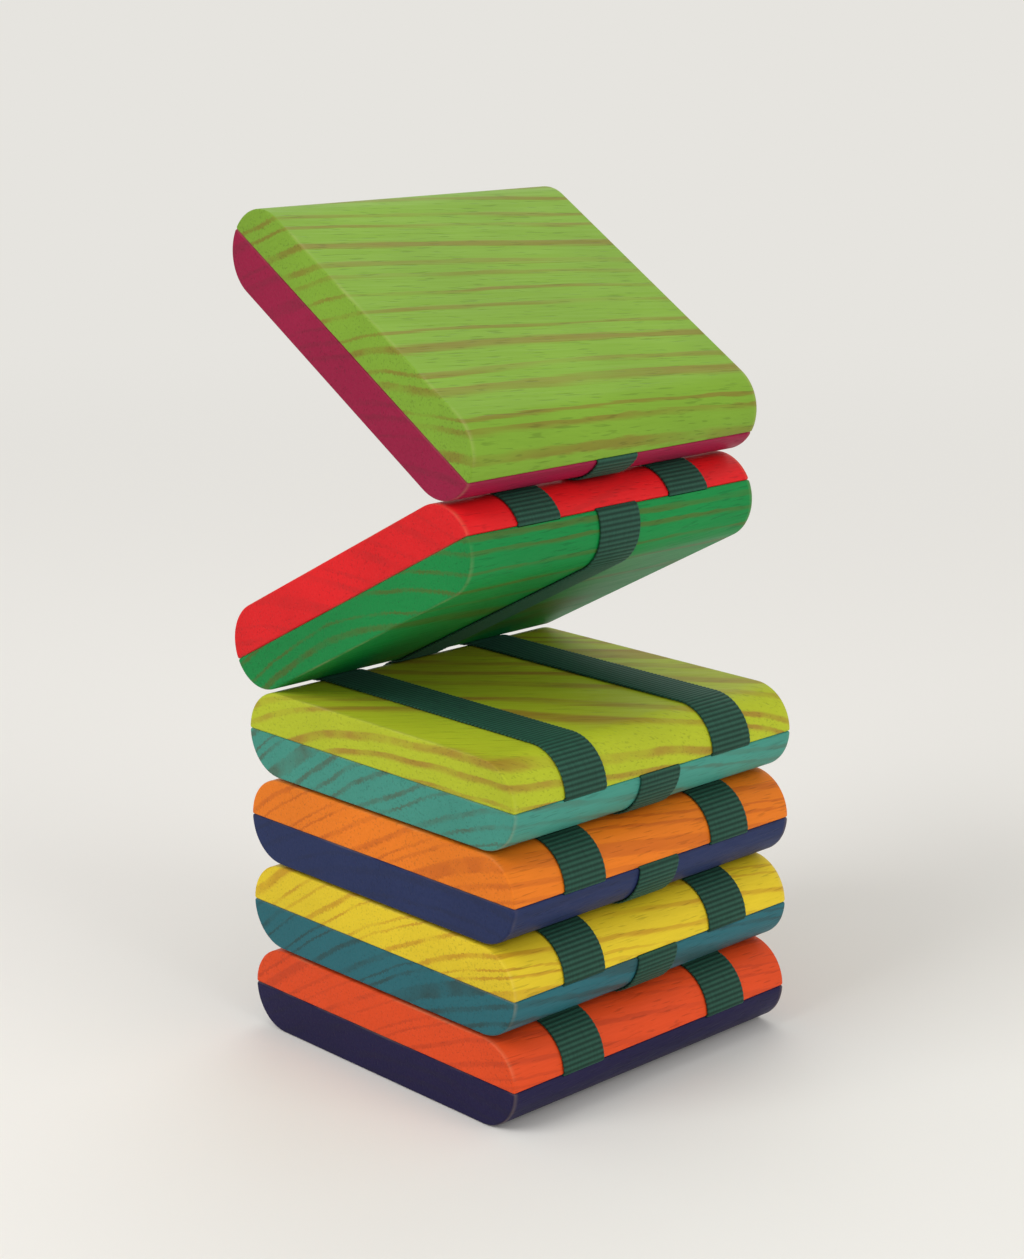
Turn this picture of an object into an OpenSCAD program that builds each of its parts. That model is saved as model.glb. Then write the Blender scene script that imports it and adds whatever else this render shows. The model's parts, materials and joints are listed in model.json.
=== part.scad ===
// Jacob's ladder toy: a chain of flat wooden tablets joined by crossed ribbons.
// A tablet is two boards glued face to face, with the ribbon ends caught in the glue line.
// Each pair of neighbours is joined by a centre ribbon and two outer ribbons that cross it, so the two
// tablets roll on each other's rounded ends as they fold. The lower tablets lie closed in a stack and the
// two upper folds stand part open.
// Lengths are in millimetres. The origin is the middle of the lowest tablet's underside, X runs along the
// tablets from one rounded end to the other, Y runs along the hinge lines and Z is up.

/* [Tablets] */
// Length of a tablet, over its two rounded ends
tablet_length = 57; // [40:1:90]
// Width of a tablet, along the hinge lines
tablet_width = 57; // [44:1:90]
// Thickness of one board, which is half a tablet
board_thickness = 6.5; // [4:0.5:9]

/* [Ribbons] */
// Width of a ribbon
ribbon_width = 8; // [4:0.5:12]
// Thickness of a ribbon
ribbon_thickness = 0.4; // [0.2:0.05:0.8]
// Bare wood between two neighbouring ribbons
ribbon_spacing = 7; // [2:0.5:10]
// Play between a ribbon and the wood on each side of it
ribbon_play = 0.05; // [0.04:0.01:0.2]
// Length of ribbon caught in the glue line at each end
tail_length = 9; // [5:0.5:14]

/* [Pose] */
// Opening of the fold between the top tablet and the second one, in degrees
fold_1_2 = 60; // [0:1:150]
// Opening of the fold between the second tablet and the third one, in degrees
fold_2_3 = 28; // [0:1:90]

/* [Hidden] */
tablet_count = 6;
pair_count = tablet_count - 1;
// Opening of each fold, from the top of the ladder down: the lower ones are closed
closed = 0;
folds = [fold_1_2, fold_2_3, closed, closed, closed];

// Colours of the upper and the lower board of each tablet, from the top of the ladder down
board_colours = [
    ["#8cb043", "#9b2445"],
    ["#e0282a", "#248543"],
    ["#b7bf38", "#4f9587"],
    ["#ee812a", "#2e3b60"],
    ["#e4c636", "#33707a"],
    ["#e5542b", "#2b2748"]
];
ribbon_colour = "#29493d";

// Radius of a tablet's rounded ends
end_radius = board_thickness;
// Distance from the middle of a tablet to the centre of a rounded end
end_offset = tablet_length / 2 - end_radius;
// Room between two closed tablets: one ribbon and its play
closed_gap = ribbon_thickness + 2 * ribbon_play;
// Radius of a ribbon's middle where it wraps a rounded end
roll_radius = end_radius + closed_gap / 2;
// Distance between the centres of two rounded ends that roll on each other
roll_pitch = 2 * roll_radius;
// Distance from the centre ribbon's middle to an outer ribbon's middle
outer_offset = ribbon_width + ribbon_spacing;
// The three ribbons of a pair and where they lie across the width
ribbon_names = ["front", "centre", "back"];
ribbon_places = [-outer_offset, 0, outer_offset];
// Half of the pocket that a ribbon tail needs, one half in each board
pocket_depth = ribbon_thickness / 2 + ribbon_play;
pocket_width = ribbon_width + 2 * ribbon_play;
pocket_length = tail_length + ribbon_play;
// Largest turn between two neighbouring points of a ribbon's bend, in degrees
bend_step = 9;
// How far a cutting solid reaches past the surface that it opens
cut_over = 1;
$fn = 96;

board_names = [
    for (tablet = [1 : tablet_count])
        for (half = ["upper", "lower"])
            str("tablet_", tablet, "_", half, "_board")
];

function board_node(tablet, half) = board_names[2 * (tablet - 1) + (half > 0 ? 0 : 1)];

function ribbon_node(name, pair, piece) = str(name, "_ribbon_", pair, "_", pair + 1, "_", piece);

// End of the tablets at which a pair is hinged: 1 at +X, -1 at -X, in turn down the ladder
function hinge_side(pair) = pair % 2 == 1 ? 1 : -1;

// Unit vector at an angle, in the plane of X and Z
function toward(angle) = [cos(angle), sin(angle)];

// A tablet's place as [x, z, tilt]. A tablet rolls on the one below it: the line between their hinge-end
// centres turns by half the fold and the tablet by all of it.
function tablet_place(tablet) =
    tablet == tablet_count ? [0, end_radius, 0] : rolled_place(tablet_place(tablet + 1), tablet);

function rolled_place(lower, pair) =
    let (
        side = hinge_side(pair),
        fold = folds[pair - 1],
        tilt = lower[2] - side * fold,
        lower_centre = to_ladder(lower, [side * end_offset, 0]),
        upper_centre = lower_centre + roll_pitch * toward(lower[2] + 90 - side * fold / 2),
        middle = upper_centre - side * end_offset * toward(tilt)
    )
    [middle.x, middle.y, tilt];

// A tablet's own vector, turned by the tablet's tilt
function turned(place, v) = v.x * toward(place[2]) + v.y * toward(place[2] + 90);

// A point in a tablet's own frame, as a point of the ladder
function to_ladder(place, p) = [place.x, place.y] + turned(place, p);

// A ribbon's path is a list of [point, mitre]: the ribbon reaches from point - mitre * thickness / 2 to
// point + mitre * thickness / 2. Both are in the plane of X and Z.
function on_tablet(place, p, mitre) = [to_ladder(place, p), turned(place, mitre)];

// Angles that divide a bend into even steps, without the first one
function bend_angles(from, to) =
    let (steps = ceil(abs(to - from) / bend_step))
    [for (step = [1 : 1 : steps]) from + (to - from) * step / steps];

// The centre ribbon of a pair hinged at +X lies on the lower tablet, and so do the outer ribbons of a pair
// hinged at -X. The others lie on the upper tablet's underside.
function lies_on_lower(name, pair) = (name == "centre") == (hinge_side(pair) > 0);

function bearing_tablet(name, pair) = lies_on_lower(name, pair) ? pair + 1 : pair;

function anchor_tablet(name, pair) = lies_on_lower(name, pair) ? pair : pair + 1;

// Face of the bearing tablet that the ribbon lies on: 1 is its upper face, -1 its underside
function bearing_face(name, pair) = lies_on_lower(name, pair) ? 1 : -1;

// The turn starts in the glue line of the tablet that anchors it, wraps that tablet's hinge end as far as
// the line where the two tablets roll on each other, and then follows the bearing tablet's hinge end.
function turn_path(name, pair) =
    let (
        side = hinge_side(pair),
        face = bearing_face(name, pair),
        anchor = tablet_place(anchor_tablet(name, pair)),
        bearing = tablet_place(bearing_tablet(name, pair)),
        half_fold = folds[pair - 1] / 2
    )
    concat(
        [
            on_tablet(anchor, [side * (tablet_length / 2 - tail_length), 0], [0, face]),
            on_tablet(anchor, [side * (end_offset + roll_radius), 0], [side, face])
        ],
        [
            for (a = bend_angles(0, 90 - half_fold))
                let (out = [side * cos(a), -face * sin(a)])
                on_tablet(anchor, [side * end_offset, 0] + roll_radius * out, out)
        ],
        [
            for (a = bend_angles(half_fold, 0))
                let (out = [side * sin(a), face * cos(a)])
                on_tablet(bearing, [side * end_offset, 0] + roll_radius * out, -out)
        ]
    );

// The run lies on the bearing tablet's face, wraps its far end and goes into its glue line there.
function run_path(name, pair) =
    let (
        side = hinge_side(pair),
        face = bearing_face(name, pair),
        bearing = tablet_place(bearing_tablet(name, pair))
    )
    concat(
        [
            on_tablet(bearing, [side * end_offset, face * roll_radius], [0, -face]),
            on_tablet(bearing, [-side * end_offset, face * roll_radius], [0, -face])
        ],
        [
            for (a = bend_angles(0, 90))
                let (out = [-side * sin(a), face * cos(a)])
                if (a < 90) on_tablet(bearing, [-side * end_offset, 0] + roll_radius * out, -out)
        ],
        [
            on_tablet(bearing, [-side * (end_offset + roll_radius), 0], [side, face]),
            on_tablet(bearing, [-side * (tablet_length / 2 - tail_length), 0], [0, face])
        ]
    );

// Outline of a ribbon along its path
function strip_outline(path) =
    let (half = ribbon_thickness / 2, last = len(path) - 1)
    concat(
        [for (i = [0 : last]) path[i][0] + half * path[i][1]],
        [for (i = [last : -1 : 0]) path[i][0] - half * path[i][1]]
    );

// Places across the width of the ribbon tails in one end of a tablet. At +X the tablet holds the outer
// ribbons of the pair above and the centre ribbon of the pair below, and at -X the other way round.
function tail_places(tablet, end) =
    let (
        above = tablet > 1,
        below = tablet < tablet_count,
        centre = end > 0 ? below : above,
        outer = end > 0 ? above : below
    )
    concat(centre ? [0] : [], outer ? [-outer_offset, outer_offset] : []);

// Stands a drawing in X and Z upright and gives it a width along Y, about the given place
module across(width, y = 0)
    translate([0, y, 0])
        rotate([90, 0, 0])
            linear_extrude(width, center = true)
                children();

// Half of a tablet's side view, from the glue line up: flat between two quarter-round ends
module board_outline()
    intersection() {
        union() {
            square([2 * end_offset, 2 * end_radius], center = true);
            for (end = [-1, 1])
                translate([end * end_offset, 0])
                    circle(end_radius);
        }
        translate([-tablet_length / 2, 0])
            square([tablet_length, end_radius]);
    }

// Pockets for the ribbon tails in a board's glue face
module tail_pockets(tablet)
    for (end = [-1, 1])
        for (y = tail_places(tablet, end))
            across(pocket_width, y)
                translate([end * (tablet_length + cut_over - pocket_length) / 2, 0])
                    square([pocket_length + cut_over, 2 * pocket_depth], center = true);

// One board of a tablet, where it stands in the ladder: half is 1 for the upper board, -1 for the lower
module board(tablet, half) {
    place = tablet_place(tablet);
    color(board_colours[tablet - 1][half > 0 ? 0 : 1])
        translate([place.x, 0, place.y])
            rotate([0, -place[2], 0])
                difference() {
                    mirror([0, 0, half > 0 ? 0 : 1])
                        across(tablet_width)
                            board_outline();
                    tail_pockets(tablet);
                }
}

// Part of a ribbon that lies on a tablet and moves with it
module ribbon_run(ribbon, pair)
    color(ribbon_colour)
        across(ribbon_width, ribbon_places[ribbon])
            polygon(strip_outline(run_path(ribbon_names[ribbon], pair)));

// Part of a ribbon that wraps the hinge and bends as it folds
module ribbon_turn(ribbon, pair)
    color(ribbon_colour)
        across(ribbon_width, ribbon_places[ribbon])
            polygon(strip_outline(turn_path(ribbon_names[ribbon], pair)));

for (tablet = [1 : tablet_count])
    for (half = [1, -1])
        board(tablet, half);

for (pair = [1 : pair_count])
    for (ribbon = [0 : len(ribbon_names) - 1]) {
        ribbon_run(ribbon, pair);
        ribbon_turn(ribbon, pair);
    }
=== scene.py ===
"""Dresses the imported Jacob's ladder toy: stained boards, grosgrain ribbons, floor, light and camera.

The toy's sizes are in millimetres and turn into metres where a mesh is made. X runs along the tablets, Y
along the hinge lines and Z is up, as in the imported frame. Places come from the frame's joints and boxes.
"""

from __future__ import annotations

import json
import logging
import math
from collections.abc import Callable, Mapping, Sequence
from dataclasses import dataclass, replace
from enum import Enum
from functools import partial
from typing import Any

import bmesh
import bpy
from mathutils import Matrix, Vector

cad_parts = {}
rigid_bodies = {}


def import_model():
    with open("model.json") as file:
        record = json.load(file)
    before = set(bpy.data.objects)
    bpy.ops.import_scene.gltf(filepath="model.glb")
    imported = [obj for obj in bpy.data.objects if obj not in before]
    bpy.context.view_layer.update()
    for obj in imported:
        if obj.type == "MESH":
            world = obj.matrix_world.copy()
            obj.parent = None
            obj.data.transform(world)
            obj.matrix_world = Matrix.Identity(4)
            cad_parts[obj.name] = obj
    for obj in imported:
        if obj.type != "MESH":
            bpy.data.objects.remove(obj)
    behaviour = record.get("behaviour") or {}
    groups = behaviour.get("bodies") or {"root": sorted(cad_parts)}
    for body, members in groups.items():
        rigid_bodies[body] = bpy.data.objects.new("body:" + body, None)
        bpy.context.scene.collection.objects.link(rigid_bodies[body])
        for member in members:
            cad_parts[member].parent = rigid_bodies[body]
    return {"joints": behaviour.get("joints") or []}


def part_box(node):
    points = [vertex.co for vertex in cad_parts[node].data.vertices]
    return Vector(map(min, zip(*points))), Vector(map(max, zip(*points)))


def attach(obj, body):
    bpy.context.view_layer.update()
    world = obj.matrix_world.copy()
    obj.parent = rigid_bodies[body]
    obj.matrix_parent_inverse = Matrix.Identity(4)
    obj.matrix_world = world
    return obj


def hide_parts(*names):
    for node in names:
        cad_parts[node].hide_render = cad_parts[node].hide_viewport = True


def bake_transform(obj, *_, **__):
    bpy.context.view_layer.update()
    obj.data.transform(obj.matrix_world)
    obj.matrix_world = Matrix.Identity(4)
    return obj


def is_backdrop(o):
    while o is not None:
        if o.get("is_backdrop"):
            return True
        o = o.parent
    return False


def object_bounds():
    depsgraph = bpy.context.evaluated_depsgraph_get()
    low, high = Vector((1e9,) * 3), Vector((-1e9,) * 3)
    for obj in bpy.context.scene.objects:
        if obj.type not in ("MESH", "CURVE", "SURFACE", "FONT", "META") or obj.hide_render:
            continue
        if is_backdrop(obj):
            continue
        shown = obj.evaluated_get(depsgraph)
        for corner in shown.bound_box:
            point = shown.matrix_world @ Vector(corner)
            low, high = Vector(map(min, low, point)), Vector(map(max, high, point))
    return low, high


log = logging.getLogger("jacobs_ladder")

MM = 0.001
QUARTER = math.pi / 2
# The values of a share, of a wave, and of a noise, nearly all of which lie in its middle
SHARE = (0.0, 1.0)
WAVE = (-1.0, 1.0)
NOISE = (0.3, 0.7)
# Blender's names for the kinds of node that come up most
MATH = "ShaderNodeMath"
VECTOR_MATH = "ShaderNodeVectorMath"
MAP_RANGE = "ShaderNodeMapRange"
MAPPING = "ShaderNodeMapping"
MIX = "ShaderNodeMix"
TEX_NOISE = "ShaderNodeTexNoise"

Point = tuple[float, float]
Range = tuple[float, float]
# Half of a tablet's rounded end: the end, 1 at +X or -1 at -X, and 1 for its upper half or -1 for its lower
EndHalf = tuple[int, int]
Node = bpy.types.Node
Tree = bpy.types.NodeTree
Piece = bpy.types.Object
Material = bpy.types.Material
# Adds a node to one tree
Adder = Callable[..., Node]


class Half(Enum):
    """The two boards of a tablet."""

    UPPER = 1
    LOWER = -1


class Lane(Enum):
    """The three ribbons of a hinge, across its width."""

    FRONT = -1
    CENTRE = 0
    BACK = 1


class Strip(Enum):
    """The lengths that a ribbon is made in, from its tail in the anchoring tablet on."""

    TAIL = "tail"
    WRAP = "wrap"
    NIP = "nip"
    ROLL = "roll"
    RUN = "run"


def linear(colour: str) -> tuple[float, float, float, float]:
    """Turns an sRGB hex colour into linear RGBA.

    Args:
        colour: the colour as "#rrggbb".

    Returns:
        Red, green, blue and alpha, from 0 to 1.
    """
    shares = [int(colour[i : i + 2], 16) / 255 for i in (1, 3, 5)]
    red, green, blue = (s / 12.92 if s <= 0.04045 else ((s + 0.055) / 1.055) ** 2.4 for s in shares)
    return red, green, blue, 1.0


def add_node(tree: Tree, kind: str, inputs: Mapping[str, Any] | Sequence[Any] = (), **settings: Any) -> Node:
    """Adds a node with its settings and links.

    Args:
        tree: the node tree that takes the node.
        kind: Blender's name for the kind of node.
        inputs: what goes into the inputs that the settings leave in use, by name or in order: a value, an
            output socket, or a node, which stands for its first output.
        settings: the node's own properties.

    Returns:
        The new node.
    """
    node = tree.nodes.new(kind)
    for name, value in settings.items():
        setattr(node, name, value)
    used = [socket for socket in node.inputs if socket.enabled]
    if isinstance(inputs, Mapping):
        named = {socket.name: socket for socket in used}
        used = [named[name] for name in inputs]
        inputs = list(inputs.values())
    for socket, value in zip(used, inputs):
        if isinstance(value, Node):
            value = next(output for output in value.outputs if output.enabled)
        if isinstance(value, bpy.types.NodeSocket):
            tree.links.new(value, socket)
        else:
            socket.default_value = value
    return node


def new_material(name: str) -> tuple[Material, Adder]:
    """Makes an empty node material.

    Args:
        name: the material's name.

    Returns:
        The material, and what adds a node to it.
    """
    material = bpy.data.materials.new(name)
    material.use_nodes = True
    material.node_tree.nodes.clear()
    return material, partial(add_node, material.node_tree)


def new_object(name: str, data: bpy.types.ID) -> Piece:
    """Puts a mesh, a light or a camera into the scene as an object at the origin.

    Args:
        name: the object's name.
        data: its mesh, light or camera.

    Returns:
        The object.
    """
    made = bpy.data.objects.new(name, data)
    bpy.context.scene.collection.objects.link(made)
    return made


def settle(made: Piece) -> Piece:
    """Turns an object with modifiers into a plain mesh.

    Args:
        made: the object, with its modifiers live.

    Returns:
        The same object, with the finished mesh and no modifiers.
    """
    graph = bpy.context.evaluated_depsgraph_get()
    rough = made.data
    made.data = bpy.data.meshes.new_from_object(made.evaluated_get(graph), depsgraph=graph)
    made.modifiers.clear()
    bpy.data.meshes.remove(rough)
    made.data.name = made.name
    return made


@dataclass(frozen=True)
class Place:
    """Where a tablet stands: the middle of its glue line, and its tilt, anticlockwise from the front."""

    x: float
    z: float
    tilt: float

    def point(self, x: float, z: float) -> Point:
        """Turns a point of the tablet's own frame into the ladder's."""
        cos, sin = math.cos(self.tilt), math.sin(self.tilt)
        return self.x + (x * cos - z * sin), self.z + (x * sin + z * cos)

    def metres(self, point: Sequence[float]) -> tuple[float, float, float]:
        """Turns a point of the tablet's own frame into the ladder's, in metres."""
        x, z = self.point(point[0], point[1])
        return x * MM, 0.0, z * MM

    def matrix(self) -> Matrix:
        """The tablet's place as a matrix, in metres."""
        return Matrix.Translation((self.x * MM, 0.0, self.z * MM)) @ Matrix.Rotation(-self.tilt, 4, "Y")


@dataclass(frozen=True)
class Sizes:
    """The ladder's sizes, read from the frame."""

    length: float
    width: float
    radius: float
    end_offset: float
    roll_radius: float
    ribbon_width: float
    lane_offset: float
    # Ribbon caught in the glue line at each end, which no box of the frame shows
    tail_length: float = 9.0

    @classmethod
    def from_frame(cls, joints: Mapping[str, Mapping[str, Any]]) -> Sizes:
        """Measures the third tablet, which lies flat, and the ribbon and the hinge beside it.

        Args:
            joints: the frame's joints by name.

        Returns:
            The sizes, in millimetres.
        """
        low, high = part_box("tablet_3_upper_board")
        ribbon_low, ribbon_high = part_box("back_ribbon_3_4_run")
        length, width, radius = ((high[i] - low[i]) / MM for i in range(3))
        fold, roll = (Vector(joints[f"{kind}_3_4"]["pos_m"]) / MM for kind in ("fold", "roll"))
        return cls(
            length=length,
            width=width,
            radius=radius,
            end_offset=length / 2 - radius,
            roll_radius=(fold - roll).length / 2,
            ribbon_width=(ribbon_high.y - ribbon_low.y) / MM,
            lane_offset=(ribbon_high.y + ribbon_low.y) / 2 / MM,
        )


# Noises in the wood: their sizes across and along the grain in millimetres, and how fine they go
WOOD_NOISES = {
    "warp": (20.0, 60.0, 2.0),
    "fade": (5.0, 30.0, 2.0),
    "fibre": (0.4, 14.0, 3.0),
    "pores": (0.32, 4.5, 1.0),
    "cloud": (15.0, 24.0, 2.0),
    "rub": (9.0, 9.0, 3.0),
}
# How far apart the noises are taken, so that none repeats another, and how much further along the grain
NOISE_STEP = 7.3
NOISE_SLANT = 1.7


@dataclass(frozen=True)
class StainedWood:
    """Close-grained wood, planed, sanded, stained and given a thin satin lacquer.

    The eye sees even colour with darker growth lines, which run along the hinge line on the faces and slant
    across the end grain, fine pores along the grain, a soft sheen, and paler wood where an edge is rubbed.
    Lengths are in millimetres.
    """

    dye: str
    stain: str
    line: str
    # The log's heart, from the middle of the tablet along X and Z
    heart: Point
    # Distance between two growth lines
    ring: float
    # How strongly the growth lines show, from 0 to 1
    figure: float
    # The log's lean against the board, about X and about Z, in degrees
    lean: Point
    seed: float
    # Share of a year's growth that its line takes
    breadth: float = 0.42
    # How far the rings bend and how far the lines' edges fray
    wander: float = 2.6
    fray: float = 0.9
    # The shares of a line between which it is full
    full: Range = (0.57, 0.24)
    # How fast good and bad years change, and the most years by which they shift a line
    season: float = 0.55
    season_shift: float = 1.6
    # The noise over which faded lines come back, and the share of a line that is left where it fades
    fade: Range = (0.32, 0.60)
    faded: float = 0.25
    # The noise over which a pore opens
    pore: Range = (0.60, 0.70)
    # Distances from a side face over which end grain begins, and a rubbed edge begins and ends again
    end_grain: Range = (0.28, 0.04)
    rub_begin: Range = (0.9, 0.3)
    rub_end: Range = (0.02, 0.2)
    # The noise over which a patch is rubbed, and how much bare wood then shows
    rub_patch: Range = (0.40, 0.80)
    rub_most: float = 0.28
    bare: str = "#d8bd92"
    # Brightness from the least to the most of the stain's clouds, the fibres, the pores and the end grain
    cloud_shade: Range = (0.93, 1.06)
    fibre_shade: Range = (1.07, 0.93)
    pore_shade: Range = (1.0, 0.80)
    end_shade: Range = (1.0, 0.86)
    # Heights of the growth lines, the fibres and the pores
    heights: tuple[float, float, float] = (0.02, 0.03, -0.03)
    relief: float = 0.8
    # Roughness across the fibres, and what end grain adds to it
    roughness: Range = (0.44, 0.58)
    end_roughness: float = 0.12
    # The lacquer is half sunk into the wood, so it reflects little
    ior: float = 1.5
    specular: float = 0.14
    coat: float = 0.04
    coat_roughness: float = 0.25

    @property
    def slot(self) -> str:
        """The name of the finish and of its material."""
        return f"{self.dye}_stained_wood"

    def material(self, place: Place, sizes: Sizes) -> Material:
        """Makes the finish of one board.

        Args:
            place: where the board's tablet stands, because the grain belongs to the board.
            sizes: the ladder's sizes.

        Returns:
            The material.
        """
        material, add = new_material(self.slot)
        where = add("ShaderNodeTexCoord").outputs["Object"]
        spot, turn = place.metres((0.0, 0.0)), (0.0, -place.tilt, 0.0)
        board = add(MAPPING, (where, spot, turn, (MM, MM, MM)), vector_type="TEXTURE")
        lean = (0.0, 0.0, math.radians(self.lean[1]))
        grain = add(MAPPING, {"Vector": board, "Rotation": lean}, vector_type="TEXTURE")
        noise = {}
        for number, (name, (across, along, detail)) in enumerate(WOOD_NOISES.items()):
            shift = self.seed + NOISE_STEP * number
            spot = (shift, shift * NOISE_SLANT, -shift)
            scale = (1 / across, 1 / along, 1 / across)
            drawn = add(MAPPING, {"Vector": grain, "Location": spot, "Scale": scale})
            noise[name] = add(TEX_NOISE, {"Vector": drawn, "Scale": 1.0, "Detail": detail})
        fibre = noise["fibre"]
        line = self.growth_lines(add, board, noise)
        pores = add(MAP_RANGE, (noise["pores"], *self.pore))
        end_grain, rubbed = self.edges(add, board, noise["rub"], sizes)

        streak = add(MIX, (line, linear(self.stain), linear(self.line)), data_type="RGBA")
        shade = add(MAP_RANGE, (noise["cloud"], *NOISE, *self.cloud_shade))
        shades = (self.fibre_shade, self.pore_shade, self.end_shade)
        for value, ends in zip((fibre, pores, end_grain), shades):
            part = add(MAP_RANGE, (value, *SHARE, *ends))
            shade = add(MATH, (shade, part), operation="MULTIPLY")
        toned = add(VECTOR_MATH, (streak, shade), operation="SCALE")
        colour = add(MIX, (rubbed, toned, linear(self.bare)), data_type="RGBA")

        gloss = add(MAP_RANGE, (fibre, *NOISE, *self.roughness))
        rough = add(MATH, (end_grain, self.end_roughness, gloss), operation="MULTIPLY_ADD")
        height: Any = 0.0
        for value, rise in zip((line, fibre, pores), self.heights):
            height = add(MATH, (value, rise, height), operation="MULTIPLY_ADD")
        surface = add(
            "ShaderNodeBsdfPrincipled",
            {
                "Base Color": colour,
                "Roughness": rough,
                "IOR": self.ior,
                "Specular IOR Level": self.specular,
                "Coat Weight": self.coat,
                "Coat Roughness": self.coat_roughness,
                "Normal": add("ShaderNodeBump", {"Height": height, "Distance": MM, "Strength": self.relief}),
            },
        )
        add("ShaderNodeOutputMaterial", {"Surface": surface})
        return material

    def growth_lines(self, add: Adder, board: Node, noise: Mapping[str, Node]) -> Node:
        """Draws the growth rings of a log that runs along the hinge line.

        Args:
            add: adds a node to the material.
            board: the place on the board, in millimetres.
            noise: the wood's noises by name.

        Returns:
            How much of a growth line there is at the place, from 0 to 1.
        """
        warp = noise["warp"].outputs["Color"]
        centred = add(VECTOR_MATH, (warp, (0.5, 0.5, 0.5)), operation="SUBTRACT")
        wander = (self.wander, 0.0, self.wander)
        bent = add(VECTOR_MATH, (centred, wander, board), operation="MULTIPLY_ADD")
        heart = (self.heart[0], 0.0, self.heart[1])
        lean = (math.radians(self.lean[0]), 0.0, math.radians(self.lean[1]))
        in_log = add(MAPPING, (bent, heart, lean), vector_type="TEXTURE")
        flat = add(VECTOR_MATH, (in_log, (1.0, 0.0, 1.0)), operation="MULTIPLY")
        radius = add(VECTOR_MATH, (flat,), operation="LENGTH")
        frayed = add(MATH, (noise["fibre"], self.fray, radius), operation="MULTIPLY_ADD")
        years = add(MATH, (frayed, 1 / self.ring, self.seed), operation="MULTIPLY_ADD")
        # Good and bad years set the lines unevenly
        season = add(TEX_NOISE, {"W": years, "Scale": self.season, "Detail": 1.0}, noise_dimensions="1D")
        uneven = add(MATH, (season, self.season_shift, years), operation="MULTIPLY_ADD")
        share = add(MATH, (uneven,), operation="FRACT")
        ramp = add("ShaderNodeValToRGB", (share,))
        stops = ramp.color_ramp
        stops.interpolation = "EASE"
        for stop, position in zip(stops.elements, (1 - self.breadth, 1.0)):
            stop.position = position
            stop.color = (0.0, 0.0, 0.0, 1.0)
        for left in self.full:
            stops.elements.new(1 - left * self.breadth).color = (1.0, 1.0, 1.0, 1.0)
        least = self.faded * self.figure
        strength = add(MAP_RANGE, (noise["fade"], *self.fade, least, self.figure))
        return add(MATH, (ramp, strength), operation="MULTIPLY")

    def edges(self, add: Adder, board: Node, rub: Node, sizes: Sizes) -> tuple[Node, Node]:
        """Finds the end grain of the side faces, and the eased edges beside them that handling has rubbed.

        Args:
            add: adds a node to the material.
            board: the place on the board, in millimetres.
            rub: patchy noise.
            sizes: the ladder's sizes.

        Returns:
            How much end grain and how much bare wood shows, each from 0 to 1.
        """
        across = add("ShaderNodeSeparateXYZ", (board,)).outputs["Y"]
        off_middle = add(MATH, (across,), operation="ABSOLUTE")
        side = add(MATH, (sizes.width / 2, off_middle), operation="SUBTRACT")
        end_grain = add(MAP_RANGE, (side, *self.end_grain), interpolation_type="SMOOTHSTEP")
        outer = add(MAP_RANGE, (side, *self.rub_begin))
        inner = add(MAP_RANGE, (side, *self.rub_end))
        band = add(MATH, (outer, inner), operation="MULTIPLY")
        patch = add(MAP_RANGE, (rub, *self.rub_patch, 0.0, self.rub_most))
        return end_grain, add(MATH, (band, patch), operation="MULTIPLY")


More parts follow.
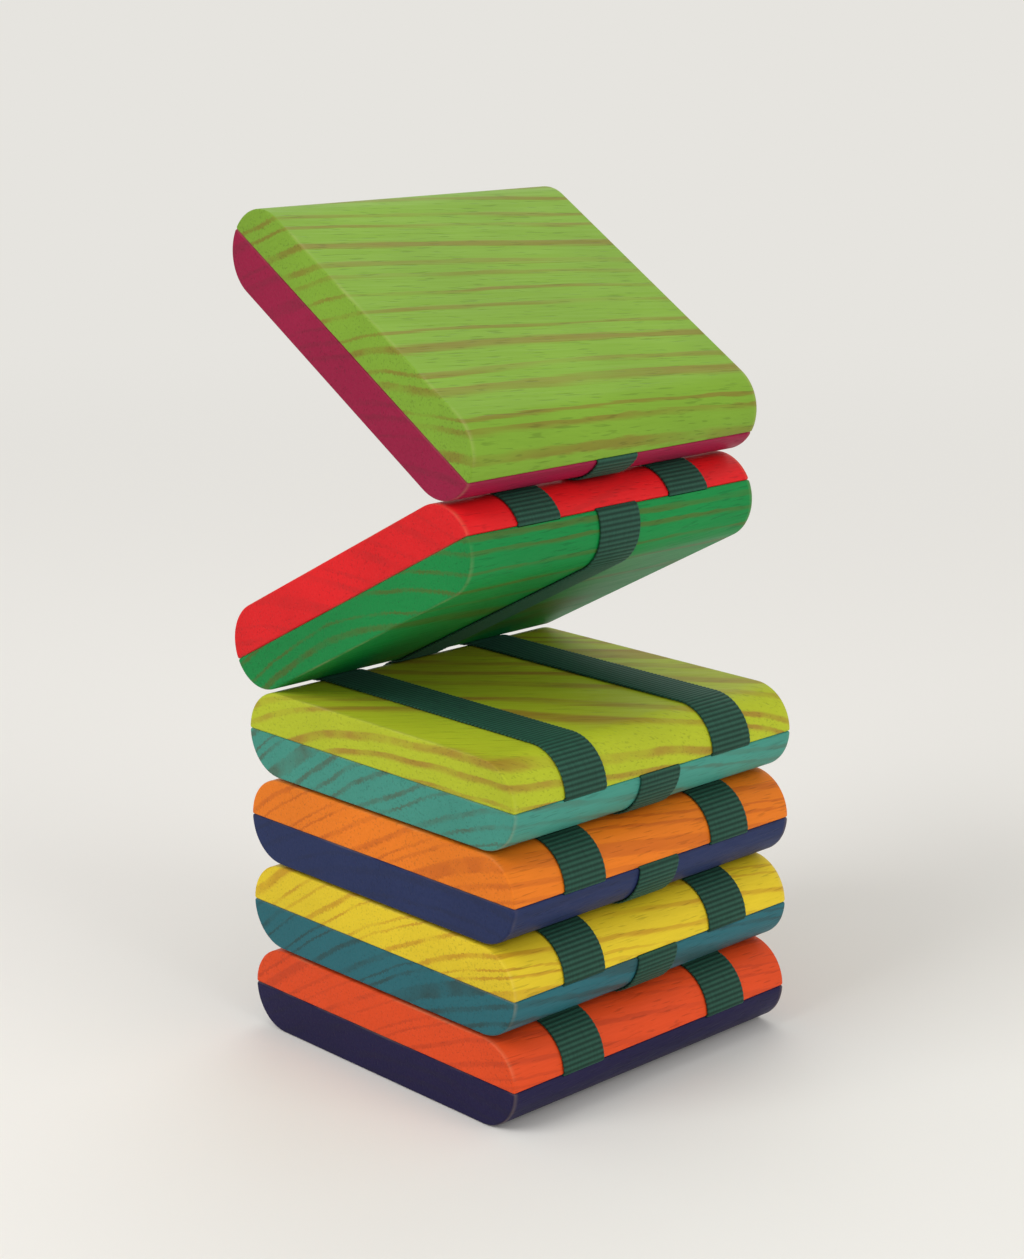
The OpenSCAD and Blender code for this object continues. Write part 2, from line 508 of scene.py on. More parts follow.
@dataclass(frozen=True)
class Grosgrain:
    """Polyester grosgrain ribbon, woven with fine warp threads over thick weft cords.

    The eye sees crosswise ribs with grooves between them, which are painted darker as shade, a thread texture
    along the ribbon on each rib, and a faint silky sheen. Lengths are in millimetres.
    """

    slot: str = "ribbon"
    colour: str = "#265444"
    # The colour in the grooves between the ribs, darker than the ribs: painted shade
    groove: str = "#18362b"
    thickness: float = 0.4
    # The depth of the groove between two ribs and the rounding of the edges, as shares of the thickness
    rib_depth: float = 0.45
    edge_round: float = 0.4
    edge_points: int = 2
    # Rows of mesh to a rib
    rows: int = 4
    # Real warp threads are about 0.12 mm apart, drawn coarser here so that they show in the render
    thread: float = 0.28
    thread_height: float = 0.03
    relief: float = 0.7
    # Length and width of the flecks in the yarn, and their brightness
    fleck: Point = (2.5, 0.3)
    fleck_shade: Range = (0.86, 1.14)
    # Roughness in the grooves and on the ribs
    roughness: Range = (0.75, 0.55)
    ior: float = 1.5
    specular: float = 0.2
    sheen: float = 0.14
    sheen_roughness: float = 0.4
    sheen_tint: str = "#72b097"

    def material(self, rib: float) -> Material:
        """Makes the ribbon's finish.

        Args:
            rib: the distance between two ribs, in millimetres.

        Returns:
            The material.
        """
        material, add = new_material("grosgrain_ribbon")
        weave = add("ShaderNodeUVMap", uv_map="weave")
        parts = add("ShaderNodeSeparateXYZ", (weave,)).outputs
        waves = []
        for axis, pitch in (("X", rib), ("Y", self.thread)):
            turn = add(MATH, (parts[axis], math.tau / (pitch * MM)), operation="MULTIPLY")
            wave = add(MATH, (turn,), operation="COSINE")
            waves.append(add(MAP_RANGE, (wave, *WAVE)))
        ribs, threads = waves
        scale = (1 / (self.fleck[0] * MM), 1 / (self.fleck[1] * MM), 1.0)
        drawn = add(MAPPING, {"Vector": weave, "Scale": scale})
        yarn = add(TEX_NOISE, {"Vector": drawn, "Scale": 1.0, "Detail": 2.0})
        # The grooves between the ribs take the darker colour: painted shade in the recesses
        ribs_with_painted_groove_shade = add(MIX, (ribs, linear(self.groove), linear(self.colour)), data_type="RGBA")
        shade = add(MAP_RANGE, (yarn, *NOISE, *self.fleck_shade))
        height = add(MATH, (threads, ribs), operation="MULTIPLY")
        bump = {"Height": height, "Distance": self.thread_height * MM, "Strength": self.relief}
        surface = add(
            "ShaderNodeBsdfPrincipled",
            {
                "Base Color": add(VECTOR_MATH, (ribs_with_painted_groove_shade, shade), operation="SCALE"),
                "Roughness": add(MAP_RANGE, (ribs, *SHARE, *self.roughness)),
                "IOR": self.ior,
                "Specular IOR Level": self.specular,
                "Sheen Weight": self.sheen,
                "Sheen Roughness": self.sheen_roughness,
                "Sheen Tint": linear(self.sheen_tint),
                "Normal": add("ShaderNodeBump", bump),
            },
        )
        add("ShaderNodeOutputMaterial", {"Surface": surface})
        return material

    def strip_tree(self) -> Tree:
        """Builds the geometry nodes that weave a ribbon along a path.

        The path is a chain of edges in a plane across Y. Its point attribute "reel" is the length of ribbon
        up to the point, in metres, which sets the ribs.

        Returns:
            The node tree, whose inputs are the ribbon's sizes and its material.
        """
        tree = bpy.data.node_groups.new("grosgrain_strip", "GeometryNodeTree")
        tree.interface.new_socket("Path", in_out="INPUT", socket_type="NodeSocketGeometry")
        for name in ("Width", "Thickness", "Edge Round", "Rib Spacing", "Rib Depth"):
            tree.interface.new_socket(name, in_out="INPUT", socket_type="NodeSocketFloat")
        tree.interface.new_socket("Ribbon", in_out="INPUT", socket_type="NodeSocketMaterial")
        tree.interface.new_socket("Strip", in_out="OUTPUT", socket_type="NodeSocketGeometry")

        add = partial(add_node, tree)
        given = add("NodeGroupInput").outputs
        path = add("GeometryNodeMeshToCurve", {"Mesh": given["Path"]})
        tangent = add("GeometryNodeInputTangent")
        outward = add(VECTOR_MATH, (tangent, (0.0, 1.0, 0.0)), operation="CROSS_PRODUCT")
        faced = add("GeometryNodeSetCurveNormal", {"Curve": path, "Normal": outward}, mode="FREE")
        here = add("GeometryNodeInputPosition")
        keep = add("GeometryNodeCaptureAttribute", {"Geometry": faced})
        for name, value in (("middle", here), ("outward", outward)):
            keep.capture_items.new("VECTOR", name)
            tree.links.new(value.outputs[0], keep.inputs[name])
        middle, away = keep.outputs["middle"], keep.outputs["outward"]
        section = add(
            "GeometryNodeCurvePrimitiveQuadrilateral", {"Width": given["Thickness"], "Height": given["Width"]}
        )
        corner = {"Curve": section, "Count": self.edge_points, "Radius": given["Edge Round"]}
        rounded = add("GeometryNodeFilletCurve", corner, mode="POLY")
        swept = add("GeometryNodeCurveToMesh", {"Curve": keep, "Profile Curve": rounded, "Fill Caps": True})

        # Both faces sink towards the ribbon's middle in the grooves between the ribs
        off_middle = add(VECTOR_MATH, (here, middle), operation="SUBTRACT")
        rise = add(VECTOR_MATH, (off_middle, away), operation="DOT_PRODUCT")
        reel = add("GeometryNodeInputNamedAttribute", {"Name": "reel"}, data_type="FLOAT")
        ribs = add(MATH, (reel, given["Rib Spacing"]), operation="DIVIDE")
        turn = add(MATH, (ribs, math.tau), operation="MULTIPLY")
        wave = add(MATH, (turn,), operation="COSINE")
        groove = add(MAP_RANGE, (wave, *reversed(WAVE), 0.0, given["Rib Depth"]))
        drop = add(MATH, (rise, groove), operation="MULTIPLY")
        sunk = add(VECTOR_MATH, (away, drop), operation="SCALE")
        inward = add(VECTOR_MATH, (sunk, -1.0), operation="SCALE")
        ribbed = add("GeometryNodeSetPosition", {"Geometry": swept, "Offset": inward})

        side = add("ShaderNodeSeparateXYZ", (off_middle,)).outputs["Y"]
        chart = add("ShaderNodeCombineXYZ", {"X": reel, "Y": side})
        charted = add(
            "GeometryNodeStoreNamedAttribute",
            {"Geometry": ribbed, "Name": "weave", "Value": chart},
            data_type="FLOAT2",
            domain="CORNER",
        )
        smooth = add("GeometryNodeSetShadeSmooth", {"Geometry": charted})
        real = add("GeometryNodeRealizeInstances", {"Geometry": smooth})
        dressed = add("GeometryNodeSetMaterial", {"Geometry": real, "Material": given["Ribbon"]})
        add("NodeGroupOutput", {"Strip": dressed})
        return tree


@dataclass(frozen=True)
class Tablet:
    """Two boards glued face to face, with the ribbon tails in pockets in the glue line."""

    number: int
    place: Place
    sizes: Sizes
    finishes: Mapping[Half, StainedWood]
    # Ribbon tails in the glue line, as the end, 1 or -1, and the lane
    tails: Sequence[tuple[int, Lane]]
    # Steps of mesh round a quarter-round end
    arc_steps: int = 28
    # Width of the eased edges, their steps, and the least turn in degrees that makes an edge
    ease: float = 0.45
    ease_steps: int = 4
    edge_turn: float = 40.0
    # Room round a ribbon tail, and how far the cutting solid reaches out of the end
    pocket_play: float = 0.05
    cut_over: float = 1.0
    # Points nearer to each other than this become one
    merge: float = 0.001

    def build(self) -> list[Piece]:
        """Makes, dresses and fastens both boards.

        Returns:
            The two boards.
        """
        boards = []
        for half in Half:
            name = f"tablet_{self.number}_{half.name.lower()}_board"
            board = self.board(f"{name}_wood", half)
            self.dress(board, half)
            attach(board, f"tablet_{self.number}")
            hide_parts(name)
            boards.append(board)
        return boards

    def board(self, name: str, half: Half) -> Piece:
        """Makes one board: flat between two quarter-round ends, with eased edges and its pockets.

        Args:
            name: the piece's name.
            half: which board of the tablet it is.

        Returns:
            The board, where it stands in the ladder.
        """
        sizes = self.sizes
        outline = [
            (end * sizes.end_offset + sizes.radius * math.cos(angle), sizes.radius * math.sin(angle))
            for end, first in ((1, 0.0), (-1, QUARTER))
            for angle in (first + QUARTER * step / self.arc_steps for step in range(self.arc_steps + 1))
        ]
        shape = bmesh.new()
        rims = [
            [shape.verts.new((x * MM, y * MM, half.value * z * MM)) for x, z in outline]
            for y in (-sizes.width / 2, sizes.width / 2)
        ]
        for rim in rims:
            shape.faces.new(rim)
        for i in range(len(outline)):
            j = (i + 1) % len(outline)
            shape.faces.new((rims[0][i], rims[0][j], rims[1][j], rims[1][i]))
        bmesh.ops.recalc_face_normals(shape, faces=shape.faces)
        mesh = bpy.data.meshes.new(name)
        shape.to_mesh(mesh)
        shape.free()
        mesh.shade_smooth()
        board = new_object(name, mesh)
        bevel = board.modifiers.new("eased_edges", "BEVEL")
        bevel.width = self.ease * MM
        bevel.segments = self.ease_steps
        bevel.limit_method = "ANGLE"
        bevel.angle_limit = math.radians(self.edge_turn)
        cutter = self.pockets()
        cut = board.modifiers.new("tail_pockets", "BOOLEAN")
        cut.operation = "DIFFERENCE"
        cut.solver = "EXACT"
        cut.object = cutter
        merged = board.modifiers.new("merged_points", "WELD")
        merged.merge_threshold = self.merge * MM
        even = board.modifiers.new("even_shading", "WEIGHTED_NORMAL")
        even.keep_sharp = True
        settle(board)
        bpy.data.meshes.remove(cutter.data)
        board.data.transform(self.place.matrix())
        return board

    def pockets(self) -> Piece:
        """Makes the solid that cuts the pockets for the ribbon tails.

        Returns:
            The cutting solid, in the tablet's own frame.
        """
        sizes = self.sizes
        deep = sizes.roll_radius - sizes.radius
        wide = sizes.ribbon_width / 2 + self.pocket_play
        inner = sizes.length / 2 - sizes.tail_length - self.pocket_play
        outer = sizes.length / 2 + self.cut_over
        shape = bmesh.new()
        for end, lane in self.tails:
            middle = lane.value * sizes.lane_offset
            spot = Matrix.Translation((end * (inner + outer) / 2 * MM, middle * MM, 0.0))
            size = Matrix.Diagonal(((outer - inner) * MM, 2 * wide * MM, 2 * deep * MM, 1.0))
            bmesh.ops.create_cube(shape, size=1.0, matrix=spot @ size)
        mesh = bpy.data.meshes.new("tail_pockets")
        shape.to_mesh(mesh)
        shape.free()
        cutter = new_object("tail_pockets", mesh)
        cutter.hide_render = True
        return cutter

    def dress(self, board: Piece, half: Half) -> None:
        """Gives a board its finish.

        Args:
            board: the board.
            half: which board of the tablet it is.
        """
        finish = self.finishes[half]
        board.data.materials.clear()
        board.data.materials.append(finish.material(self.place, self.sizes))


@dataclass(frozen=True)
class Ribbon:
    """One ribbon of a hinge: out of one tablet's glue line, round its end, and along the other tablet."""

    # The first part of the names of the ribbon's CAD nodes, and the name of the CAD body between the tablets
    node: str
    hinge: str
    lane: Lane
    # The tablet that holds the ribbon's first end and the one that it lies on, by name and place
    anchor: tuple[str, Place]
    bearing: tuple[str, Place]
    # The face of the bearing tablet that it lies on: 1 is its upper face, -1 its underside
    face: int
    # The end at which the tablets are hinged, 1 at +X or -1 at -X, and half of their opening in degrees
    side: int
    half_fold: float
    sizes: Sizes
    finish: Grosgrain
    tree: Tree
    material: Material
    # Distance between two ribs
    rib: float
    # Radius at which the ribbon's middle bends into the glue line, and the steps of mesh in that bend
    tuck: float = 0.4
    tuck_steps: int = 6
    # The fewest steps of mesh in an arc on an end, and in the arc on the bearing tablet's hinge end
    arc_steps: int = 2
    roll_steps: int = 4
    # Least opening, in degrees, that the visible turn is drawn at, so that both of its arcs have a length
    least_half_fold: float = 1.5
    # Opening, in degrees, under which the tablets hide the arc on the bearing end
    hidden_half_fold: float = 20.0
    # The shares of the hinge's turn at which the strips round the anchoring end begin and end
    shares: tuple[float, ...] = (0.0, 0.2, 0.8, 1.0)

    @property
    def opening(self) -> float:
        """Half of the opening that the turn is drawn at, in radians."""
        return math.radians(max(self.half_fold, self.least_half_fold))

    @property
    def tuck_angle(self) -> float:
        """How far round the end, in radians, the bend into the glue line reaches."""
        return self.tuck / self.sizes.roll_radius

    def wrap_angle(self, share: float) -> float:
        """The place round the anchoring end, in radians, that takes this share of the hinge's turn."""
        last = QUARTER - self.opening
        return self.tuck_angle + share * (last - self.tuck_angle)

    @staticmethod
    def eased(share: float) -> float:
        """Undoes the smooth step of a blend: how far along it that share of the turn is reached."""
        return 0.5 - math.sin(math.asin(1 - 2 * share) / 3)

    def steps(self, length: float, least: int = 1) -> int:
        """The steps of mesh in a length of ribbon, which are a few to each rib."""
        return max(least, round(length / self.rib * self.finish.rows))

    def on_end(self, half: EndHalf, angle: float) -> Point:
        """A point of the ribbon's middle on a rounded end, in the tablet's own frame.

        Args:
            half: the half of the end.
            angle: the angle away from the glue line, in radians.

        Returns:
            The point's X and Z.
        """
        end, face = half
        reach = self.sizes.end_offset + self.sizes.roll_radius * math.cos(angle)
        return end * reach, face * self.sizes.roll_radius * math.sin(angle)

    def tuck_rows(self, half: EndHalf) -> list[Point]:
        """Points of the tail in the glue line and of its bend, from the tail's inner end outwards.

        Args:
            half: the half of the end that the ribbon turns to.

        Returns:
            The points, in the tablet's own frame.
        """
        end, face = half
        inner = self.sizes.length / 2 - self.sizes.tail_length
        corner = self.sizes.end_offset + self.sizes.roll_radius - self.tuck
        steps = self.steps(corner - inner)
        rows = [(end * (inner + (corner - inner) * step / steps), 0.0) for step in range(steps)]
        for step in range(self.tuck_steps):
            angle = QUARTER * step / self.tuck_steps
            out, up = self.tuck * math.sin(angle), self.tuck * (1 - math.cos(angle))
            rows.append((end * (corner + out), face * up))
        rows.append(self.on_end(half, self.tuck_angle))
        return rows

    def arc_rows(self, half: EndHalf, first: float, last: float) -> list[Point]:
        """Points on a rounded end.

        Args:
            half: the half of the end.
            first: the first angle away from the glue line, in radians.
            last: the last angle.

        Returns:
            The points, in the tablet's own frame.
        """
        steps = self.steps(abs(last - first) * self.sizes.roll_radius, self.arc_steps)
        return [self.on_end(half, first + (last - first) * step / steps) for step in range(steps + 1)]

    def roll_rows(self) -> tuple[list[Point], list[float]]:
        """Points of the arc on the bearing tablet's hinge end, from the rolling line to the face.

        They are spaced by the inverse of a smooth step, so that a blend would spread them evenly, though none
        does here.
        Where the tablets hide the arc, they hold the whole quarter turn of ribbon that opening the hinge pulls
        out.

        Returns:
            The points, in the tablet's own frame, and the length of ribbon up to each of them.
        """
        stowed = self.half_fold < self.hidden_half_fold
        length = (QUARTER if stowed else self.opening) * self.sizes.roll_radius
        steps = self.steps(length, self.roll_steps)
        reach = math.sin(self.opening)
        shares = [step / steps for step in range(steps + 1)]
        angles = [math.asin(reach * (1 - self.eased(share))) for share in shares]
        points = [self.on_end((self.side, self.face), QUARTER - angle) for angle in angles]
        return points, [share * length for share in shares]

    def rows(self) -> dict[Strip, tuple[list[Point], list[float]]]:
        """Lays the whole ribbon out.

        Returns:
            For each strip, its points in the ladder and the length of ribbon up to each of them.
        """
        side, face = self.side, self.face
        anchor, bearing = self.anchor[1], self.bearing[1]
        roll, roll_reel = self.roll_rows()
        straight = 2 * self.sizes.end_offset
        steps = self.steps(straight)
        flat = [
            (side * (self.sizes.end_offset - straight * step / steps), face * self.sizes.roll_radius)
            for step in range(steps)
        ]
        near, far = (side, -face), (-side, face)
        end = self.arc_rows(far, QUARTER, self.tuck_angle) + self.tuck_rows(far)[-2::-1]
        tuck, first, last, contact = map(self.wrap_angle, self.shares)
        local = {
            Strip.TAIL: (anchor, self.tuck_rows(near)[:-1] + self.arc_rows(near, tuck, first)),
            Strip.WRAP: (anchor, self.arc_rows(near, first, last)),
            Strip.NIP: (anchor, self.arc_rows(near, last, contact)),
            Strip.ROLL: (bearing, roll),
            Strip.RUN: (bearing, flat + end),
        }
        laid = {}
        start = 0.0
        for strip, (place, points) in local.items():
            reel = roll_reel
            if strip is not Strip.ROLL:
                reel = [0.0]
                for a, b in zip(points, points[1:]):
                    reel.append(reel[-1] + math.dist(a, b))
            laid[strip] = ([place.point(*p) for p in points], [start + r for r in reel])
            start += reel[-1]
        return laid

    def build(self) -> list[Piece]:
        """Makes the ribbon's strips and fastens the one along the bearing tablet to that tablet.

        Returns:
            The strips.
        """
        strips = {strip: self.sweep(strip, *rows) for strip, rows in self.rows().items()}
        self.bend(strips)
        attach(strips[Strip.RUN], self.bearing[0])
        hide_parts(f"{self.node}_turn")
        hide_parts(f"{self.node}_run")
        return list(strips.values())

    def bend(self, strips: Mapping[Strip, Piece]) -> None:
        """Works out a line for each strip round the anchoring end and for the one on the bearing end, and
        bakes each strip's place into its mesh.

        On each strip's line the places where strips meet come out at their even share of the hinge's turn. No
        blend turns the strips along these lines, so they keep the shape they were woven in.

        Args:
            strips: the ribbon's strips.
        """
        anchor, place = self.anchor
        for strip, low, high in zip((Strip.TAIL, Strip.WRAP, Strip.NIP), self.shares, self.shares[1:]):
            angles = (self.wrap_angle(share) for share in (low, high))
            first, last = (Vector(self.on_end((self.side, -self.face), angle)) for angle in angles)
            line = last - first
            if strip is Strip.TAIL:
                # Square to the glue line, so that the tail in it doesn't turn
                line.x = 0.0
            line /= self.eased(high) - self.eased(low)
            start = first - self.eased(low) * line
            end = start + line
            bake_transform(strips[strip], anchor, self.hinge, start=place.metres(start), end=place.metres(end))
        bearing, place = self.bearing
        contact = self.on_end((self.side, self.face), QUARTER - self.opening)[0]
        root = self.side * self.sizes.end_offset
        start, end = (place.metres((x, 0.0)) for x in (contact, root))
        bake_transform(strips[Strip.ROLL])

    def sweep(self, strip: Strip, points: Sequence[Point], reel: Sequence[float]) -> Piece:
        """Weaves one strip along its points.

        Args:
            strip: which strip of the ribbon it is.
            points: the strip's middle, in the ladder.
            reel: the length of ribbon up to each point.

        Returns:
            The strip.
        """
        name = f"{self.node}_{strip.value}_woven"
        y = self.lane.value * self.sizes.lane_offset * MM
        mesh = bpy.data.meshes.new(f"{name}_path")
        edges = [(i, i + 1) for i in range(len(points) - 1)]
        mesh.from_pydata([(px * MM, y, pz * MM) for px, pz in points], edges, [])
        lengths = mesh.attributes.new("reel", "FLOAT", "POINT")
        lengths.data.foreach_set("value", [r * MM for r in reel])
        piece = new_object(name, mesh)
        weave = piece.modifiers.new("weave", "NODES")
        weave.node_group = self.tree
        values = {
            "Width": self.sizes.ribbon_width * MM,
            "Thickness": self.finish.thickness * MM,
            "Edge Round": self.finish.edge_round * self.finish.thickness * MM,
            "Rib Spacing": self.rib * MM,
            "Rib Depth": self.finish.rib_depth,
            "Ribbon": self.material,
        }
        for socket in self.tree.interface.items_tree:
            if socket.in_out == "INPUT" and socket.name in values:
                weave[socket.identifier] = values[socket.name]
        return settle(piece)


@dataclass(frozen=True)
class Ladder:
    """The whole toy: six tablets and the ribbons between them."""

    joints: Mapping[str, Mapping[str, Any]]
    sizes: Sizes
    finishes: Sequence[tuple[StainedWood, StainedWood]]
    ribbon: Grosgrain
    # Ribs to a quarter turn of ribbon, so that the ribs meet where strips meet
    ribs_to_quarter: int = 14

    @property
    def count(self) -> int:
        """The number of tablets."""
        return len(self.finishes)

    @staticmethod
    def side(pair: int) -> int:
        """The end at which a pair is hinged: 1 at +X, -1 at -X, in turn down the ladder."""
        return 1 if pair % 2 else -1

    def half_fold(self, pair: int) -> float:
        """Half of a pair's opening at rest, in degrees: its fold closes by that much."""
        return -float(self.joints[f"fold_{pair}_{pair + 1}"]["range_deg"][0])

    def places(self) -> list[Place]:
        """Works out where the tablets stand, from the lowest one, which lies flat, up.

        Returns:
            The places, from the top of the ladder down.
        """
        tilt = 0.0
        found = []
        for tablet in range(self.count, 0, -1):
            pair = min(tablet, self.count - 1)
            if tablet < self.count:
                tilt -= self.side(pair) * math.radians(2 * self.half_fold(pair))
            fold, roll = (self.joints[f"{kind}_{pair}_{pair + 1}"] for kind in ("fold", "roll"))
            # The centre of the tablet's rounded end in the hinge
            x, _, z = (fold if fold["parent"] == f"tablet_{tablet}" else roll)["pos_m"]
            reach = self.side(pair) * self.sizes.end_offset
            found.append(Place(x / MM - reach * math.cos(tilt), z / MM - reach * math.sin(tilt), tilt))
        return found[::-1]

    def tails(self, tablet: int) -> list[tuple[int, Lane]]:
        """Lists the ribbon tails in a tablet's glue line.

        Args:
            tablet: the tablet's number.

        Returns:
            The end, 1 or -1, and the lane of each tail.
        """
        found = []
        for end in (1, -1):
            above, below = tablet > 1, tablet < self.count
            centre, outer = (below, above) if end > 0 else (above, below)
            lanes = ([Lane.CENTRE] if centre else []) + ([Lane.FRONT, Lane.BACK] if outer else [])
            found += [(end, lane) for lane in lanes]
        return found

    def build(self) -> list[Piece]:
        """Makes every piece of the toy.

        Returns:
            The pieces.
        """
        places = self.places()
        pieces: list[Piece] = []
        for number, (place, pair) in enumerate(zip(places, self.finishes), 1):
            finishes = dict(zip(Half, pair))
            pieces += Tablet(number, place, self.sizes, finishes, self.tails(number)).build()
        rib = self.sizes.roll_radius * QUARTER / self.ribs_to_quarter
        tree = self.ribbon.strip_tree()
        material = self.ribbon.material(rib)
        for pair in range(1, self.count):
            name = f"{pair}_{pair + 1}"
            tablets = [(f"tablet_{tablet}", places[tablet - 1]) for tablet in (pair, pair + 1)]
            for lane in Lane:
                # A ribbon lies on the lower tablet's upper face or on the upper tablet's underside
                on_lower = (lane is Lane.CENTRE) == (self.side(pair) > 0)
                anchor, bearing = tablets if on_lower else reversed(tablets)
                pieces += Ribbon(
                    node=f"{lane.name.lower()}_ribbon_{name}",
                    hinge=f"hinge_{name}",
                    lane=lane,
                    anchor=anchor,
                    bearing=bearing,
                    face=1 if on_lower else -1,
                    side=self.side(pair),
                    half_fold=self.half_fold(pair),
                    sizes=self.sizes,
                    finish=self.ribbon,
                    tree=tree,
                    material=material,
                    rib=rib,
                ).build()
        return pieces


def toward(azimuth: float, elevation: float) -> Vector:
    """The direction at so many degrees round from the front and so many up."""
    a, e = math.radians(azimuth), math.radians(elevation)
    return Vector((math.cos(e) * math.sin(a), -math.cos(e) * math.cos(a), math.sin(e)))


def backdrop_rays(add: Adder) -> Node:
    """Tells rays that show the backdrop from rays that light the toy.

    Args:
        add: adds a node to the tree that takes the test.

    Returns:
        1 for rays from the camera, from mirrors and through glass, otherwise 0.
    """
    ray = add("ShaderNodeLightPath").outputs
    total: Any = ray["Is Camera Ray"]
    for name in ("Is Glossy Ray", "Is Transmission Ray"):
        total = add(MATH, (total, ray[name]), operation="MAXIMUM")
    return total


@dataclass(frozen=True)
class MattPaper:
    """Uncoated paper: the eye sees an even pale sheet with a faint tooth and no gloss."""

    colour: str = "#f1efeb"
    roughness: float = 0.85
    # Size and height of the paper's tooth, in millimetres
    tooth: float = 0.8
    tooth_height: float = 0.02
    relief: float = 0.4
    # Distances from the toy, in metres, over which the sheet turns into the backdrop, so no horizon shows
    fade: Range = (0.12, 0.75)

    def material(self, backdrop: str) -> Material:
        """Makes the sheet's finish.

        Args:
            backdrop: the backdrop's colour.

        Returns:
            The material.
        """
        material, add = new_material("matt_paper")
        where = add("ShaderNodeTexCoord").outputs["Object"]
        tooth = add(TEX_NOISE, {"Vector": where, "Scale": 1 / (self.tooth * MM), "Detail": 2.0})
        bump = {"Height": tooth, "Distance": self.tooth_height * MM, "Strength": self.relief}
        sheet = add(
            "ShaderNodeBsdfPrincipled",
            {
                "Base Color": linear(self.colour),
                "Roughness": self.roughness,
                "Normal": add("ShaderNodeBump", bump),
            },
        )
        away = add(VECTOR_MATH, (where,), operation="LENGTH")
        far = add(MAP_RANGE, (away, *self.fade), interpolation_type="SMOOTHSTEP")
        share = add(MATH, (far, backdrop_rays(add)), operation="MULTIPLY")
        shown = add("ShaderNodeEmission", {"Color": linear(backdrop), "Strength": 1.0})
        surface = add("ShaderNodeMixShader", (share, sheet, shown))
        add("ShaderNodeOutputMaterial", {"Surface": surface})
        return material


@dataclass(frozen=True)
class Studio:
    """A plain pale floor, soft lamps and the camera. Lengths are in metres."""

    box_low: Vector
    box_high: Vector
    # Where the camera stands, in degrees round and up from a point low in the toy
    azimuth: float = 46.0
    elevation: float = 16.27
    distance: float = 0.3786
    aim_height: float = 0.050
    clip_start: float = 0.01
    # The share of the picture's height that the toy takes
    fill: float = 0.76
    paper: MattPaper = MattPaper()
    floor_reach: float = 6.0
    # The floor lies this far under the toy, so that their faces don't coincide
    floor_drop: float = 2e-5
    backdrop_colour: str = "#e6e4df"
    sky_colour: str = "#f1f0ed"
    sky_strength: float = 0.62
    # The height that the lamps point at, and their names, degrees round and up, distances, sizes and watts
    lamp_aim: float = 0.06
    lamps: tuple[tuple[str, float, float, float, float, float], ...] = (
        ("key", -10.0, 38.0, 0.95, 0.60, 4.2),
        ("fill", 98.0, 25.0, 1.05, 0.80, 3.3),
        ("rear", 215.0, 48.0, 1.10, 0.70, 1.4),
    )

    def build(self) -> None:
        """Makes the floor, the lamps, the sky and the camera."""
        self.floor()
        self.hang_lamps()
        self.sky()
        self.camera()

    def floor(self) -> None:
        """Lays a wide sheet of matt paper under the toy."""
        reach = self.floor_reach
        corners = ((-reach, -reach), (reach, -reach), (reach, reach), (-reach, reach))
        mesh = bpy.data.meshes.new("floor")
        mesh.from_pydata([(x, y, -self.floor_drop) for x, y in corners], [], [(0, 1, 2, 3)])
        mesh.materials.append(self.paper.material(self.backdrop_colour))
        new_object("floor", mesh)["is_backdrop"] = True

    def hang_lamps(self) -> None:
        """Hangs large soft lamps round the toy."""
        target = Vector((0.0, 0.0, self.lamp_aim))
        for name, azimuth, elevation, distance, size, power in self.lamps:
            light = bpy.data.lights.new(name, "AREA")
            light.shape = "DISK"
            light.size = size
            light.energy = power
            lamp = new_object(name, light)
            lamp.location = target + toward(azimuth, elevation) * distance
            lamp.rotation_euler = (target - lamp.location).to_track_quat("-Z", "Y").to_euler()

    def sky(self) -> None:
        """Gives the room an even pale light and the picture a pale backdrop."""
        world = bpy.data.worlds.new("room")
        bpy.context.scene.world = world
        world.use_nodes = True
        world.node_tree.nodes.clear()
        add = partial(add_node, world.node_tree)
        light = add("ShaderNodeBackground", {"Color": linear(self.sky_colour), "Strength": self.sky_strength})
        shown = add("ShaderNodeBackground", {"Color": linear(self.backdrop_colour), "Strength": 1.0})
        room = add("ShaderNodeMixShader", (backdrop_rays(add), light, shown))
        add("ShaderNodeOutputWorld", {"Surface": room})

    def camera(self) -> None:
        """Stands the camera at the picture's angle and frames the toy."""
        lens = bpy.data.cameras.new("camera")
        camera = new_object("camera", lens)
        low, high = self.box_low, self.box_high
        spot = Vector((0.0, 0.0, self.aim_height)) + toward(self.azimuth, self.elevation) * self.distance
        turn = ((low + high) / 2 - spot).to_track_quat("-Z", "Y")
        camera.location = spot
        camera.rotation_euler = turn.to_euler()
        corners = [
            turn.inverted() @ (Vector((x, y, z)) - spot)
            for x in (low.x, high.x)
            for y in (low.y, high.y)
            for z in (low.z, high.z)
        ]
        heights = [c.y / -c.z for c in corners]
        # The sensor's width lies along the picture's longer side, which is its height
        lens.lens = lens.sensor_width * self.fill / (max(heights) - min(heights))
        lens.clip_start = self.clip_start
        bpy.context.scene.camera = camera


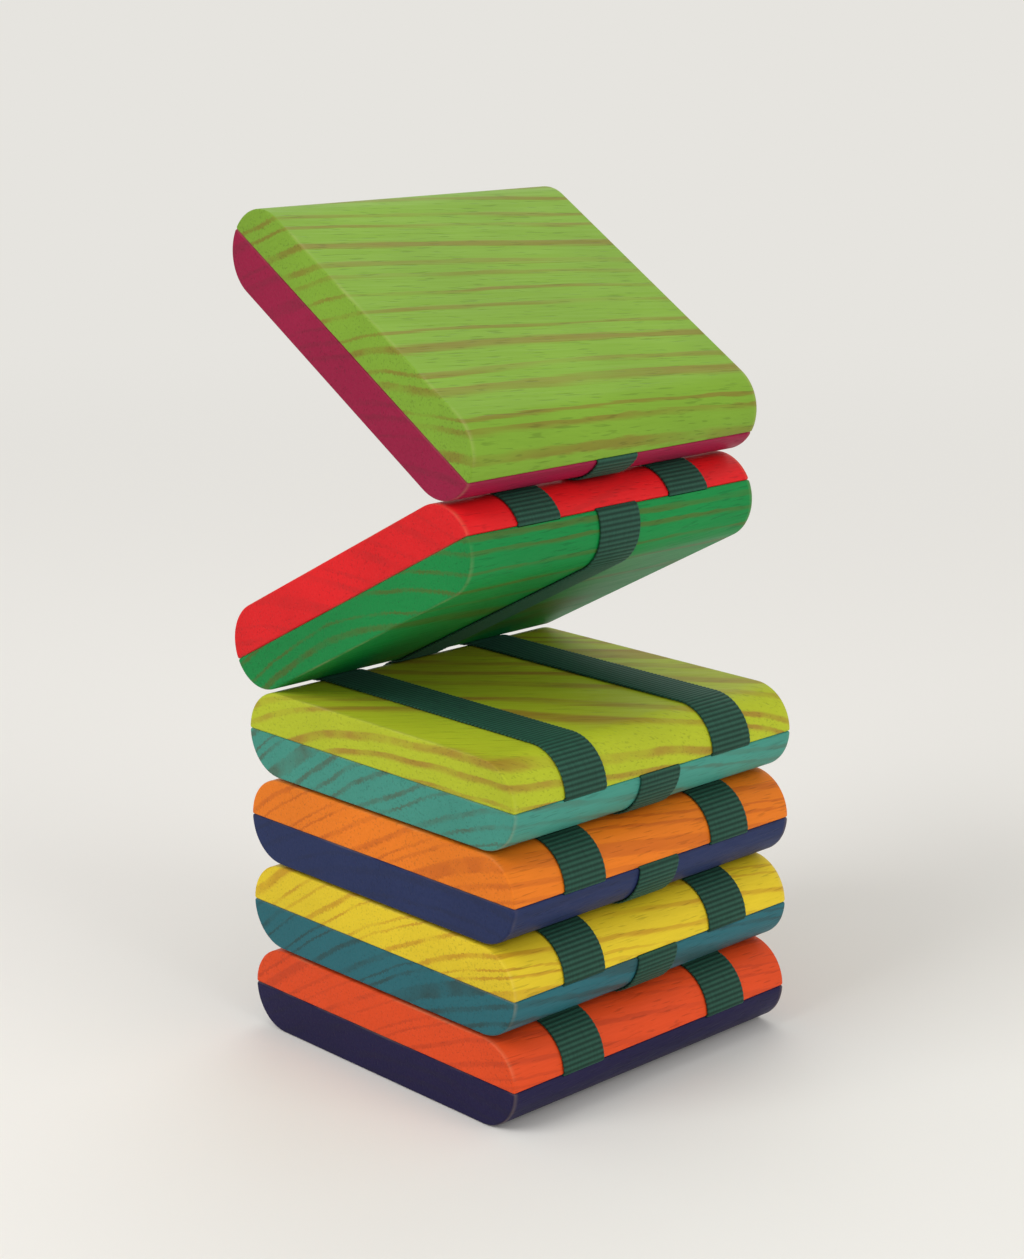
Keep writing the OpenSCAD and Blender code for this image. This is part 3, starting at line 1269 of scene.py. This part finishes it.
# Finishes of the upper and the lower board of each tablet, from the top of the ladder down: the dye, the
# colours of the stain and of the growth lines, the heart, the ring, the figure, the lean and the seed
BOARD_FINISHES = (
    (
        StainedWood("lime", "#80a833", "#84812d", (66.0, -62.0), 2.7, 0.95, (0.5, -6.0), 1.3),
        StainedWood("crimson", "#9a1841", "#7d2138", (58.0, -60.0), 3.3, 0.45, (1.0, -8.0), 2.1),
    ),
    (
        StainedWood("red", "#e41d22", "#bf2224", (-40.0, -70.0), 3.2, 0.40, (1.0, -8.0), 3.7),
        StainedWood("green", "#118842", "#46702f", (-8.0, -80.0), 2.6, 1.0, (-3.0, -4.0), 5.3),
    ),
    (
        replace(
            StainedWood("chartreuse", "#b7c22b", "#a88c2f", (50.0, -80.0), 3.0, 1.0, (-4.0, -40.0), 26.0),
            breadth=0.55,
            wander=4.5,
            fray=0.35,
        ),
        StainedWood("sea_green", "#459585", "#4f705f", (58.0, -118.0), 2.5, 0.95, (-7.0, -4.0), 6.8),
    ),
    (
        StainedWood("orange", "#ef7f1e", "#d2691d", (62.0, -120.0), 2.4, 0.85, (-7.0, -4.0), 7.4),
        StainedWood("navy", "#25315a", "#252c48", (18.0, -76.0), 3.0, 0.45, (1.0, -8.0), 8.5),
    ),
    (
        StainedWood("yellow", "#e7ca2b", "#cb9a25", (60.0, -116.0), 2.3, 0.9, (-7.0, -4.0), 9.6),
        StainedWood("petrol", "#2a6973", "#2f5154", (64.0, -122.0), 2.5, 0.95, (-7.0, -4.0), 10.2),
    ),
    (
        StainedWood("vermilion", "#e84f20", "#c7431f", (62.0, -118.0), 2.4, 0.65, (-7.0, -4.0), 11.8),
        StainedWood("indigo", "#1f1a42", "#221f38", (18.0, -80.0), 3.0, 0.40, (1.0, -8.0), 12.5),
    ),
)


def main() -> None:
    """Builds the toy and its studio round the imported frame."""
    logging.basicConfig(level=logging.INFO, format="%(name)s: %(message)s")
    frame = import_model()
    cad_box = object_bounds()
    bpy.context.scene.view_settings.view_transform = "Standard"
    joints = {joint["name"]: joint for joint in frame["joints"]}
    ladder = Ladder(joints, Sizes.from_frame(joints), BOARD_FINISHES, Grosgrain())
    for piece in ladder.build():
        log.info("%s: %d faces", piece.name, len(piece.data.polygons))
    Studio(*cad_box).build()


if __name__ == "__main__":
    main()
